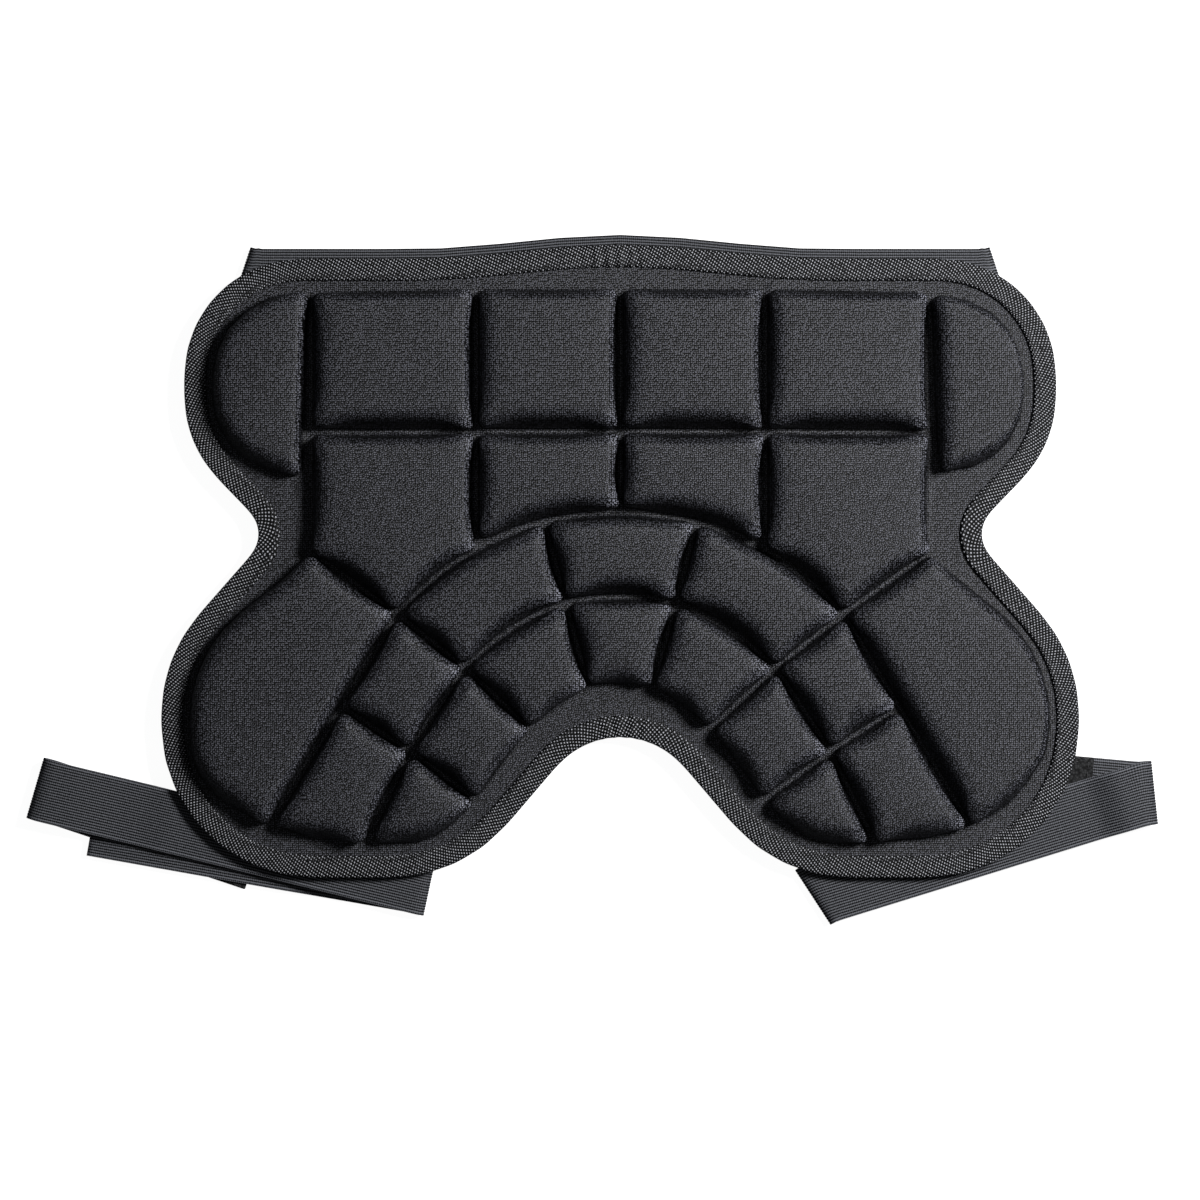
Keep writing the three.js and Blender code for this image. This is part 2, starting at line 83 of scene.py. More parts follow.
WINDOW_PLACE = (0.7, 0.35, 0.93)
WINDOW_AIM = (0.02, 0, 0)
WINDOW_SIZE = 0.3
WINDOW_WATTS = 10

window_data = bpy.data.lights.new("window_right", "AREA")
window_data.size = WINDOW_SIZE
window_data.energy = WINDOW_WATTS
window = bpy.data.objects.new("window_right", window_data)
window.location = WINDOW_PLACE
towards_pad = Vector(np.subtract(WINDOW_AIM, WINDOW_PLACE))
window.rotation_euler = towards_pad.to_track_quat("-Z", "Y").to_euler()
bpy.context.scene.collection.objects.link(window)


# Moulded pad
# One sheet of foam under black stretch knit, hot-pressed into a thin flange with cushion blocks.
# The cloth is drawn tight over each block and dips into the channels between them.
PAD_BACK = 0.0064
FLANGE_TOP = 0.0094
BLOCK_HEIGHT = 0.012
WALL_RUN = 0.0048  # level distance from a block's foot to its shoulder
CLOTH_VOXEL = 0.0011
FOOT_STEP = 0.0005  # between the points of a foot's outline
TURN_REACH = 0.005  # how far along the outline a turn is measured
TURN_LEAST = 38  # degrees that make a corner
TURN_SPACING = 0.007
FAR = 1.0  # further than anything on the pad
BLOCK_MARGIN = 0.006  # round a block's foot, in which the cloth is shaped with it
FLANGE_SKIN = 0.001
FRONT_SKIN = 0.0004

# For each kind of side: how far in from its foot it reaches the crown, how far its shoulder is
# pushed out over the foot, how much painted shade darkens the cloth on it, and how far it bows out
SIDE_LEFT = np.array((0.0020, 0.0011, 0.0, 0.0004))
SIDE_RIGHT = np.array((0.0010, 0.0021, 0.0, -0.0008))
SIDE_WAIST = np.array((0.0017, 0.0009, 0.8, 0.0003))
SIDE_LOBE = np.array((0.0031, 0.0, 0.75, 0.0010))
SIDE_CORNER = np.array((0.0012, 0.0016, 0.0, 0.0))
LOBE_LEAN = 0.3  # the sides that face the lobes face a little to the left as well
BOW_PLACE = 0.001  # in from the foot, where a wall bows most
BOW_SPAN = 0.0035
BOW_HEIGHT = 0.2  # of the block's height, above which the whole bow shows

# The waist row stands in from the open flange, its half-moon end blocks further
WAIST_ROW = 0.07
MOONS = 0.13
OPEN_SIDE = 0.008  # from other blocks, at a side next to the open flange
OPEN_INSET = 0.0014
MOON_INSET = 0.0028
INSET_SPAN = 0.006

# Where the thigh blocks are rounder than their outlines, how much, and over what reach
ROUNDER_PLACES = (
    ((0.1745, -0.0810), 0.0050, 0.016),
    ((-0.1520, -0.0800), 0.0020, 0.018),
)
THIGH_REACH = 0.06  # from such a place to the middle of its block, at most

# The dome of a block: a steep foot, slopes, and a crown that falls towards the shoulders
FOOT_SHARE = 0.32  # of the height, that stands straight up
DOME_POWER = 1.2
DOME_POWER_LOBE_SIDE = 2.0
CROWN_RISE = 0.0005
CROWN_FALL = 0.0015
CROWN_FALL_SMALL = 0.0016  # more, on the smallest blocks
CROWN_SPAN = 0.006
SMALL_BLOCK = 0.024
LARGE_BLOCK = 0.040
FOAM_RIM = 0.004  # in from the foot, where the cloth never stands above the foam
WALL_LEAST = 0.2  # of the block's height, below which the cloth keeps to the foot

# The cloth is drawn out to a point at each corner, further where the corner points to the right
CORNER_SPAN = 0.0085
CORNER_PULL = 0.0005
CORNER_PULL_RIGHT = 0.0013
CORNER_PULL_SPAN = 0.003
CORNER_LEAST = 0.02  # of the block's height, below which the flange stays where it is

# Unevenness of the pressed foam: height and pitch of its waves, on the crowns and on the walls
TOP_UNEVENNESS = 0.00022
TOP_WAVES = 0.045
TOP_SEED = 3
WALL_UNEVENNESS = 0.00015
WALL_WAVES = 0.022
WALL_SEED = 8

# Painted shade darkens the cloth in the channels and on the sides that face away from the light;
# painted highlight lightens it where it faces the light on the right, most at right-hand corners
PAINTED_CREASE_SHADE_SPAN = 0.0010
PAINTED_CREASE_SHADE = 0.75
SHADED_SLOPE_TOP = 0.97  # of the block's height, where the painted shade on a slope starts
SHADED_SLOPE_DEPTH = 0.3  # of the block's height, below which the painted shade is full
PAINTED_RIM_HIGHLIGHT = 0.7
PAINTED_RIM_HIGHLIGHT_SPAN = 0.0045
PAINTED_CORNER_HIGHLIGHT = 2.6
PAINTED_CORNER_HIGHLIGHT_SPAN = 0.0045
PAINTED_HIGHLIGHT_LEAST = 0.5  # of the block's height, below which no painted highlight is added

# Small tucks in the cloth: both ends of each and how high it stands
TUCKS = (
    ((0.0725, 0.1185), (0.0675, 0.1115), 0.0007),
    ((0.1302, 0.0500), (0.1312, 0.0150), 0.0009),
    ((-0.0810, 0.0566), (-0.0700, 0.0570), 0.0008),
)
TUCK_HALF_WIDTH = 0.0011

STITCH_WIDTH = 0.00078  # the stitches are drawn long on the blocks' walls
STITCH_SPREAD = 0.5  # how unevenly the stitches catch the light
LOOP_FALL = 1.5  # how fast a stitch darkens away from its middle
KNIT_DARK = (0.0004, 0.0004, 0.0006, 1)
KNIT_LIGHT = (0.242, 0.248, 0.295, 1)


def select_none():
    """Leaves nothing selected in object mode."""
    bpy.ops.object.select_all(action="DESELECT")


def make_active(piece):
    """Selects this piece alone."""
    select_none()
    piece.select_set(True)
    bpy.context.view_layer.objects.active = piece


def merged_copy(node, name):
    """A new piece with a CAD node's mesh, its loose triangles joined."""
    piece = bpy.data.objects.new(name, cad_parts[node].data.copy())
    piece.data.materials.clear()
    bpy.context.scene.collection.objects.link(piece)
    make_active(piece)
    bpy.ops.object.mode_set(mode="EDIT")
    bpy.ops.mesh.select_all(action="SELECT")
    bpy.ops.mesh.remove_doubles(threshold=0.000003)
    bpy.ops.object.mode_set(mode="OBJECT")
    return piece


def apply_modifier(piece, kind, **settings):
    """Adds one modifier to the piece and applies it."""
    make_active(piece)
    bpy.ops.object.modifier_add(type=kind)
    modifier = piece.modifiers[-1]
    for key, value in settings.items():
        setattr(modifier, key, value)
    bpy.ops.object.modifier_apply(modifier=modifier.name)


def points_of(piece):
    """The piece's vertices as rows of x, y, z."""
    flat = np.zeros(len(piece.data.vertices) * 3)
    piece.data.vertices.foreach_get("co", flat)
    return flat.reshape(-1, 3)


def move_points(piece, points):
    """Puts the piece's vertices at these rows of x, y, z."""
    piece.data.vertices.foreach_set("co", np.ascontiguousarray(points, float).ravel())
    piece.data.update()


def block_feet(piece):
    """The closed outlines at the foot of each cushion block, in order round it."""
    mesh = bmesh.new()
    mesh.from_mesh(piece.data)
    at_flange = 0.00005
    after = {}
    for edge in mesh.edges:
        if any(abs(v.co.z - FLANGE_TOP) > at_flange for v in edge.verts):
            continue
        rises = [max(v.co.z for v in f.verts) > FLANGE_TOP + at_flange for f in edge.link_faces]
        if len(rises) == 2 and rises[0] != rises[1]:
            a, b = edge.verts
            after.setdefault(a, []).append(b)
            after.setdefault(b, []).append(a)
    feet = []
    while after:
        start = next(iter(after))
        loop, here, last = [], start, None
        while here is not None and here in after:
            loop.append((here.co.x, here.co.y))
            onward = [v for v in after.pop(here) if v is not last and v in after]
            last, here = here, (onward[0] if onward else None)
        feet.append(np.array(loop))
    mesh.free()
    return [loop for loop in feet if len(loop) > 3]


def side_distance(xy, run):
    """Distance of each point from an open run of corners, and the way of the nearest stretch."""
    nearest = np.full(len(xy), FAR)
    heading = np.zeros((len(xy), 2))
    for a, b in zip(run[:-1], run[1:]):
        along = b - a
        share = np.clip(((xy - a) @ along) / max(along @ along, 1e-12), 0, 1)
        distance = np.linalg.norm(xy - (a + share[:, None] * along), axis=1)
        closer = distance < nearest
        heading[closer] = along / (np.linalg.norm(along) + 1e-12)
        nearest = np.where(closer, distance, nearest)
    return nearest, heading


def is_inside(xy, loop):
    """Which points lie inside a closed outline."""
    inside = np.zeros(len(xy), bool)
    for a, b in zip(loop, np.roll(loop, -1, axis=0)):
        crosses = (a[1] > xy[:, 1]) != (b[1] > xy[:, 1])
        with np.errstate(divide="ignore", invalid="ignore"):
            meeting = a[0] + (xy[:, 1] - a[1]) * (b[0] - a[0]) / (b[1] - a[1])
        inside ^= crosses & (xy[:, 0] < meeting)
    return inside


def foot_sides(loop):
    """The sides of a foot outline between its sharp turns, anticlockwise, as runs of close points."""
    ends = np.roll(loop, -1, axis=0)
    if (loop[:, 0] * ends[:, 1] - ends[:, 0] * loop[:, 1]).sum() < 0:
        loop = loop[::-1]
    closed = np.vstack([loop, loop[:1]])
    length = np.concatenate([[0], np.cumsum(np.linalg.norm(np.diff(closed, axis=0), axis=1))])
    count = int(length[-1] / FOOT_STEP)
    even = np.arange(count) * length[-1] / count
    fine = np.stack([np.interp(even, length, closed[:, k]) for k in (0, 1)], axis=1)
    reach = int(TURN_REACH / FOOT_STEP)
    before = fine - np.roll(fine, reach, axis=0)
    after = np.roll(fine, -reach, axis=0) - fine
    bend = (before * after).sum(1) / np.linalg.norm(before, axis=1) / np.linalg.norm(after, axis=1)
    turns = []
    for i in np.argsort(bend):
        if bend[i] > math.cos(math.radians(TURN_LEAST)):
            break
        if all(np.linalg.norm(fine[i] - fine[j]) > TURN_SPACING for j in turns):
            turns.append(i)
    turns.sort()
    sides = []
    for i, j in zip(turns, turns[1:] + [turns[0] + count]):
        sides.append(fine[np.arange(i, j + 1, 3) % count])
    return sides


def bell(distance, reach):
    """1 at no distance, falling to nothing past the reach."""
    return np.exp(-(distance / reach) ** 2)


def waves(points, seed, size):
    """Slow unevenness of pressed foam, from -1 to 1, the same on every run."""
    draw = np.random.default_rng(seed)
    total = np.zeros(len(points))
    count = 7
    for _ in range(count):
        heading = draw.normal(size=2)
        heading /= np.linalg.norm(heading)
        pitch = size * draw.uniform(0.7, 1.6)
        total += np.sin(points[:, :2] @ heading * 2 * np.pi / pitch + draw.uniform(0, 2 * np.pi))
    return total / count


def side_form(to_lobes, to_waist, to_right, mid_side):
    """Reach, push, painted shade and bow at each point, from the way that its side faces."""
    form = SIDE_LEFT + (SIDE_RIGHT - SIDE_LEFT) * to_right[:, None]
    form += (SIDE_WAIST - form) * to_waist[:, None] ** 2
    form += (SIDE_LOBE - form) * to_lobes[:, None]
    form = SIDE_CORNER + (form - SIDE_CORNER) * mid_side[:, None]
    return form.T


def open_inset(side, outline, middle):
    """How far a side of the waist row moves in where it lies next to the open flange."""
    half_way = side[len(side) // 2]
    gap = min(np.linalg.norm(other - half_way, axis=1).min()
              for other in outlines if other is not outline)
    if middle[1] <= WAIST_ROW or gap <= OPEN_SIDE:
        return 0
    return MOON_INSET if abs(middle[0]) > MOONS else OPEN_INSET


cover = merged_copy("moulded_pad", "pad_cover")
feet = block_feet(cover)
cover.data.remesh_voxel_size = CLOTH_VOXEL
bpy.ops.object.voxel_remesh()
apply_modifier(cover, "SMOOTH", factor=0.5, iterations=3)

place = points_of(cover)
shift = np.zeros_like(place)
painted_shade_and_highlight = np.zeros(len(place))
wobble = waves(place, TOP_SEED, TOP_WAVES)
sides_of = [foot_sides(loop) for loop in feet]
outlines = [np.vstack(sides) for sides in sides_of]
for loop, sides, outline in zip(feet, sides_of, outlines):
    low, high = loop.min(0) - BLOCK_MARGIN, loop.max(0) + BLOCK_MARGIN
    near = ((place[:, :2] > low) & (place[:, :2] < high)).all(1)
    near &= place[:, 2] > FLANGE_TOP - FLANGE_SKIN
    rows = np.flatnonzero(near)
    spots = place[rows, :2]
    inside = is_inside(spots, loop)
    height = np.clip((place[rows, 2] - FLANGE_TOP) / BLOCK_HEIGHT, 0, 1)
    middle = outline.mean(axis=0)
    from_corner = np.full(len(rows), FAR)
    painted_highlight = np.zeros(len(rows))
    for side in sides:
        away = (side[0] - middle) / np.linalg.norm(side[0] - middle)
        distance = np.linalg.norm(spots - side[0], axis=1)
        from_corner = np.minimum(from_corner, distance)
        pull = CORNER_PULL + CORNER_PULL_RIGHT * max(away[0], 0)
        pull = pull * bell(distance, CORNER_PULL_SPAN) * (height > CORNER_LEAST)
        shift[rows, :2] += away * pull[:, None]
        # Painted highlight: the knit's colour is lightened at corners that point towards the light on
        # the right
        painted_highlight += PAINTED_CORNER_HIGHLIGHT * max(away[0], 0) ** 2 * bell(distance, PAINTED_CORNER_HIGHLIGHT_SPAN)
    for spot, amount, span in ROUNDER_PLACES:
        inwards = middle - spot
        if np.linalg.norm(inwards) < THIGH_REACH:
            pull = amount * bell(np.linalg.norm(spots - spot, axis=1), span)
            shift[rows, :2] += pull[:, None] * inwards / np.linalg.norm(inwards)
    mid_side = 1 - bell(from_corner, CORNER_SPAN)
    rise = np.ones(len(rows))
    crown = np.ones(len(rows))
    from_foot = np.full(len(rows), FAR)
    side_painted_shade = np.zeros(len(rows))
    for side in sides:
        distance, heading = side_distance(spots, side)
        outward = np.stack([heading[:, 1], -heading[:, 0]], axis=1)
        to_lobes = np.clip(-outward[:, 1] - LOBE_LEAN * outward[:, 0], 0, 1)
        to_waist = np.clip(outward[:, 1], 0, 1)
        to_right = np.clip(outward[:, 0], 0, 1)
        reach, push, painted_shade, bow = side_form(to_lobes, to_waist, to_right, mid_side)
        power = DOME_POWER + (DOME_POWER_LOBE_SIDE - DOME_POWER) * to_lobes * mid_side
        rise *= 1 - np.exp(-(distance / reach) ** power)
        crown *= 1 - np.exp(-distance / CROWN_SPAN)
        side_painted_shade = np.where(distance < from_foot, painted_shade, side_painted_shade)
        # Painted highlight: the knit's colour is lightened along rims that face the light on the right
        painted_highlight += PAINTED_RIM_HIGHLIGHT * to_right * bell(distance, PAINTED_RIM_HIGHLIGHT_SPAN)
        from_foot = np.minimum(from_foot, distance)
        signed = np.where(inside, distance, -distance)
        on_wall = bell(signed - BOW_PLACE, BOW_SPAN) * np.clip(height / BOW_HEIGHT, 0, 1)
        bow = bow * mid_side + WALL_UNEVENNESS * waves(place[rows], WALL_SEED, WALL_WAVES)
        pushed = push * np.clip(2 * signed / WALL_RUN, 0, 1)
        pushed *= np.clip((3 * WALL_RUN - signed) / (2 * WALL_RUN), 0, 1)
        inset = open_inset(side, outline, middle) * bell(signed, INSET_SPAN)
        shift[rows, :2] += outward * (bow * on_wall + pushed - inset)[:, None]
    dome = (BLOCK_HEIGHT + CROWN_RISE) * (FOOT_SHARE + (1 - FOOT_SHARE) * rise)
    extent = math.sqrt(np.prod(loop.max(axis=0) - loop.min(axis=0)))
    smallness = np.clip((LARGE_BLOCK - extent) / (LARGE_BLOCK - SMALL_BLOCK), 0, 1)
    dome += TOP_UNEVENNESS * wobble[rows] * rise
    dome -= (CROWN_FALL + CROWN_FALL_SMALL * smallness) * (1 - crown)
    domed = FLANGE_TOP + dome
    level = np.where(from_foot < FOAM_RIM, np.minimum(place[rows, 2], domed), domed)
    lifted = inside & (height > WALL_LEAST)
    shift[rows, 2] += np.where(lifted, level - place[rows, 2], 0)
    # Painted shade: the knit's colour is darkened in the channels at each block's foot and on the
    # slopes of the sides that face away from the light
    shaded_slope_top = FLANGE_TOP + SHADED_SLOPE_TOP * BLOCK_HEIGHT
    on_shaded_slope = np.clip((shaded_slope_top - level) / (SHADED_SLOPE_DEPTH * BLOCK_HEIGHT), 0, 1)
    painted_light_here = PAINTED_CREASE_SHADE * bell(from_foot, PAINTED_CREASE_SHADE_SPAN)
    painted_light_here = np.maximum(painted_light_here, inside * side_painted_shade * on_shaded_slope)
    # Painted highlight on the right-facing rims and corners takes away from the painted shade
    painted_light_here -= inside * painted_highlight * (1 - painted_light_here) * (height > PAINTED_HIGHLIGHT_LEAST)
    painted_shade_and_highlight[rows] = np.where(np.abs(painted_light_here) > np.abs(painted_shade_and_highlight[rows]), painted_light_here, painted_shade_and_highlight[rows])
on_front = place[:, 2] > FLANGE_TOP - FRONT_SKIN
for start, end, tuck_height in TUCKS:
    along = np.subtract(end, start)
    share = np.clip(((place[:, :2] - start) @ along) / (along @ along), 0, 1)
    distance = np.linalg.norm(place[:, :2] - (start + share[:, None] * along), axis=1)
    fade = np.sin(np.pi * np.clip(share, 0.08, 0.92))
    shift[:, 2] += on_front * tuck_height * bell(distance, TUCK_HALF_WIDTH) * fade
move_points(cover, place + shift)
# This attribute holds painted shade (above 0) and painted highlight (below 0), which scale the knit's
# colour
cover.data.attributes.new("painted_shade_and_highlight", "FLOAT", "POINT").data.foreach_set("value", painted_shade_and_highlight)
apply_modifier(cover, "SMOOTH", factor=0.5, iterations=2)
make_active(cover)
bpy.ops.object.shade_smooth()


def knit_material():
    """Fine stretch knit: evenly spaced small stitches that catch the light unevenly, darkened by
    painted shade and lightened by painted highlight from the pad's attribute.
    """
    material = bpy.data.materials.new("stretch_knit")
    material.use_nodes = True
    nodes, links = material.node_tree.nodes, material.node_tree.links
    shader = nodes["Principled BSDF"]
    coordinates = nodes.new("ShaderNodeTexCoord")
    stitch = nodes.new("ShaderNodeTexVoronoi")
    stitch.voronoi_dimensions = "2D"
    stitch.inputs["Scale"].default_value = 1 / STITCH_WIDTH
    stitch.inputs["Randomness"].default_value = 0.55
    links.new(coordinates.outputs["Object"], stitch.inputs["Vector"])
    loop = nodes.new("ShaderNodeMath")
    loop.operation = "MULTIPLY_ADD"
    loop.use_clamp = True
    loop.inputs[1].default_value = -LOOP_FALL
    loop.inputs[2].default_value = 1
    links.new(stitch.outputs["Distance"], loop.inputs[0])
    uneven = nodes.new("ShaderNodeMath")
    uneven.operation = "MULTIPLY_ADD"
    uneven.inputs[1].default_value = STITCH_SPREAD
    uneven.inputs[2].default_value = 1 - STITCH_SPREAD
    links.new(stitch.outputs["Color"], uneven.inputs[0])
    grain = nodes.new("ShaderNodeMath")
    grain.operation = "MULTIPLY"
    links.new(loop.outputs["Value"], grain.inputs[0])
    links.new(uneven.outputs["Value"], grain.inputs[1])
    ramp = nodes.new("ShaderNodeValToRGB")
    ramp.color_ramp.elements[0].position = 0.3
    ramp.color_ramp.elements[0].color = KNIT_DARK
    ramp.color_ramp.elements[1].position = 0.68
    ramp.color_ramp.elements[1].color = KNIT_LIGHT
    links.new(grain.outputs["Value"], ramp.inputs["Fac"])
    # Painted shade and painted highlight: the base colour is scaled by one minus the pad's attribute
    painted_light_input = nodes.new("ShaderNodeAttribute")
    painted_light_input.attribute_name = "painted_shade_and_highlight"
    painted_light_scale = nodes.new("ShaderNodeMath")
    painted_light_scale.operation = "SUBTRACT"
    painted_light_scale.inputs[0].default_value = 1
    links.new(painted_light_input.outputs["Fac"], painted_light_scale.inputs[1])
    shaded = nodes.new("ShaderNodeVectorMath")
    shaded.operation = "SCALE"
    links.new(ramp.outputs["Color"], shaded.inputs[0])
    links.new(painted_light_scale.outputs["Value"], shaded.inputs["Scale"])
    links.new(shaded.outputs["Vector"], shader.inputs["Base Color"])
    bump = nodes.new("ShaderNodeBump")
    bump.inputs["Strength"].default_value = 0.5
    bump.inputs["Distance"].default_value = 0.0003
    links.new(loop.outputs["Value"], bump.inputs["Height"])
    links.new(bump.outputs["Normal"], shader.inputs["Normal"])
    shader.inputs["Roughness"].default_value = 0.48
    shader.inputs["Specular IOR Level"].default_value = 0.45
    return material


cover.data.materials.append(knit_material())
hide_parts("moulded_pad")
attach(cover, "root")


# Sewn elastic: belt and leg straps
# Black ribbed elastic, woven flat, with raised cords along it. Each band is one closed loop behind the
# pad, sewn on with the tape, and its two ends meet on hook-and-loop.
RIB_PITCH = 0.00109
RIB_SAMPLES = 3  # columns of points to each rib
STATION_STEP = 0.0018  # along a band, between two rows of points
ROUNDING = 0.0008  # of its folds
ELASTIC_DARK = (0.001, 0.001, 0.0012, 1)
ELASTIC_LIGHT = (0.29, 0.30, 0.335, 1)
PICK_PITCH = 0.0008
SELVEDGE_PLACE = 0.0118  # from the band's middle to the paler threads at its edges
SELVEDGE_HALF_WIDTH = 0.0006
SELVEDGE_LIFT = 0.1
GROOVE_SHARE = 0.6  # of the thickness, left between two cords
BAND_SHARE = 0.98  # of the solid's thickness
# Soft waves in the upper run of a strap: where along the pad, how high, how long
STRAP_WAVES = {
    "left_leg_strap": (-0.166, 0.0004, 0.005),
    "right_leg_strap": (0.206, 0.0020, 0.006),
}
UPPER_RUN = 0.004  # above this level a band runs against the pad's back


def band_stations(node):
    """Rows of a CAD band from end to end: middles, lines across, half widths and thickness."""
    copy = merged_copy(node, "route_copy")
    mesh = bmesh.new()
    mesh.from_mesh(copy.data)
    flat = 0.9999
    hubs = [v for v in mesh.verts if len(v.link_faces) == 4
            and all(f.normal.dot(v.link_faces[0].normal) > flat for f in v.link_faces)]
    ring = {hubs[0]}
    seen = set(ring)
    middles, acrosses, halves = [], [], []
    thickness = FAR
    while ring:
        ring = {e.other_vert(v) for v in ring for e in v.link_edges} - seen
        seen |= ring
        if len(ring) != 4:
            break
        corners = [np.array(v.co) for v in sorted(ring, key=lambda v: v.index)]
        first = corners[0]
        others = sorted(corners[1:], key=lambda p: np.linalg.norm(p - first))
        across = others[1] - first
        thickness = min(thickness, np.linalg.norm(others[0] - first))
        halves.append(np.linalg.norm(across) / 2)
        across = across / np.linalg.norm(across)
        if acrosses and across @ acrosses[-1] < 0:
            across = -across
        middles.append(np.mean(corners, axis=0))
        acrosses.append(across)
    mesh.free()
    bpy.data.objects.remove(copy)
    return np.array(middles), np.array(acrosses), np.array(halves), thickness


def evenly(values, length, step):
    """Values resampled at even steps of length, then rounded off a little."""
    count = max(int(length[-1] / step), 2)
    even = np.linspace(0, length[-1], count + 1)
    fine = np.stack([np.interp(even, length, column) for column in values.T], axis=1)
    reach = 3
    kernel = np.exp(-0.5 * (np.arange(-reach, reach + 1) * step / ROUNDING) ** 2)
    kernel /= kernel.sum()
    padded = np.concatenate([
        2 * fine[:1] - fine[reach:0:-1], fine, 2 * fine[-1:] - fine[-2:-reach - 2:-1]])
    return np.stack([np.convolve(column, kernel, "valid") for column in padded.T], axis=1)


def ribbed_band(node, name):
    """A ribbed elastic band along the route of a CAD band."""
    middles, acrosses, halves, thickness = band_stations(node)
    length = np.concatenate([[0], np.cumsum(np.linalg.norm(np.diff(middles, axis=0), axis=1))])
    rows = evenly(np.hstack([middles, acrosses, halves[:, None]]), length, STATION_STEP)
    middles, acrosses, halves = rows[:, :3], rows[:, 3:6], rows[:, 6]
    acrosses /= np.linalg.norm(acrosses, axis=1)[:, None]
    if node in STRAP_WAVES:
        crest, height, reach = STRAP_WAVES[node]
        upper = middles[:, 2] > UPPER_RUN
        middles[:, 2] += upper * height * np.exp(-((middles[:, 0] - crest) / reach) ** 2)
    width = 2 * halves.min()
    ribs = round(width / RIB_PITCH)
    columns = ribs * RIB_SAMPLES + 1
    select_none()
    bpy.ops.mesh.primitive_grid_add(
        x_subdivisions=columns - 1, y_subdivisions=len(middles) - 1, size=2)
    band = bpy.context.object
    band.name = name
    spot = points_of(band)
    column = np.rint((spot[:, 0] + 1) / 2 * (columns - 1)).astype(int)
    row = np.rint((spot[:, 1] + 1) / 2 * (len(middles) - 1)).astype(int)
    sideways = spot[:, 0] * (halves[row] - thickness / 4)
    move_points(band, middles[row] + acrosses[row] * sideways[:, None])
    height = 0.5 - 0.5 * np.cos(2 * np.pi * column / RIB_SAMPLES)
    height = np.where((column < 2) | (column > columns - 3), 0.5, height)
    group = band.vertex_groups.new(name="ribs")
    for value in np.unique(height):
        group.add([int(i) for i in np.flatnonzero(height == value)], float(value), "REPLACE")
    loops = np.zeros(len(band.data.loops), int)
    band.data.loops.foreach_get("vertex_index", loops)
    step = length[-1] / (len(middles) - 1)
    cloth = np.stack([(column[loops] / (columns - 1) - 0.5) * width, row[loops] * step], axis=1)
    band.data.uv_layers[0].data.foreach_set("uv", cloth.ravel())
    apply_modifier(band, "SOLIDIFY", thickness=thickness * BAND_SHARE, offset=0,
                   vertex_group="ribs", thickness_vertex_group=GROOVE_SHARE)
    band.vertex_groups.clear()
    make_active(band)
    bpy.ops.object.shade_smooth()
    return band


def elastic_material():
    """Raised cords in the warp with fine crosswise threads between them, paler at the selvedges."""
    material = bpy.data.materials.new("ribbed_elastic")
    material.use_nodes = True
    nodes, links = material.node_tree.nodes, material.node_tree.links
    shader = nodes["Principled BSDF"]
    cloth = nodes.new("ShaderNodeUVMap")
    cords = nodes.new("ShaderNodeTexWave")
    cords.bands_direction = "X"
    cords.inputs["Scale"].default_value = math.pi / (10 * RIB_PITCH)
    links.new(cloth.outputs["UV"], cords.inputs["Vector"])
    threads = nodes.new("ShaderNodeTexWave")
    threads.bands_direction = "Y"
    threads.inputs["Scale"].default_value = math.pi / (10 * PICK_PITCH)
    threads.inputs["Distortion"].default_value = 1
    links.new(cloth.outputs["UV"], threads.inputs["Vector"])
    fibres = nodes.new("ShaderNodeTexNoise")
    fibres.inputs["Scale"].default_value = 1400
    links.new(cloth.outputs["UV"], fibres.inputs["Vector"])
    mixed = nodes.new("ShaderNodeMix")
    mixed.data_type = "FLOAT"
    mixed.inputs["Factor"].default_value = 0.65
    links.new(threads.outputs["Fac"], mixed.inputs["A"])
    links.new(fibres.outputs["Fac"], mixed.inputs["B"])
    both = nodes.new("ShaderNodeMix")
    both.data_type = "FLOAT"
    both.inputs["Factor"].default_value = 0.55
    links.new(cords.outputs["Fac"], both.inputs["A"])
    links.new(mixed.outputs["Result"], both.inputs["B"])
    place_across = nodes.new("ShaderNodeSeparateXYZ")
    links.new(cloth.outputs["UV"], place_across.inputs["Vector"])
    from_middle = nodes.new("ShaderNodeMath")
    from_middle.operation = "ABSOLUTE"
    links.new(place_across.outputs["X"], from_middle.inputs[0])
    at_edge = nodes.new("ShaderNodeMath")
    at_edge.operation = "COMPARE"
    at_edge.inputs[1].default_value = SELVEDGE_PLACE
    at_edge.inputs[2].default_value = SELVEDGE_HALF_WIDTH
    links.new(from_middle.outputs["Value"], at_edge.inputs[0])
    selvedge = nodes.new("ShaderNodeMath")
    selvedge.operation = "MULTIPLY"
    selvedge.inputs[1].default_value = SELVEDGE_LIFT
    links.new(at_edge.outputs["Value"], selvedge.inputs[0])
    woven = nodes.new("ShaderNodeMath")
    woven.operation = "ADD"
    links.new(both.outputs["Result"], woven.inputs[0])
    links.new(selvedge.outputs["Value"], woven.inputs[1])
    ramp = nodes.new("ShaderNodeValToRGB")
    ramp.color_ramp.elements[0].position = 0.36
    ramp.color_ramp.elements[0].color = ELASTIC_DARK
    ramp.color_ramp.elements[1].position = 0.82
    ramp.color_ramp.elements[1].color = ELASTIC_LIGHT
    links.new(woven.outputs["Value"], ramp.inputs["Fac"])
    links.new(ramp.outputs["Color"], shader.inputs["Base Color"])
    bump = nodes.new("ShaderNodeBump")
    bump.inputs["Strength"].default_value = 0.5
    bump.inputs["Distance"].default_value = 0.0003
    links.new(both.outputs["Result"], bump.inputs["Height"])
    links.new(bump.outputs["Normal"], shader.inputs["Normal"])
    shader.inputs["Roughness"].default_value = 0.6
    shader.inputs["Specular IOR Level"].default_value = 0.2
    return material


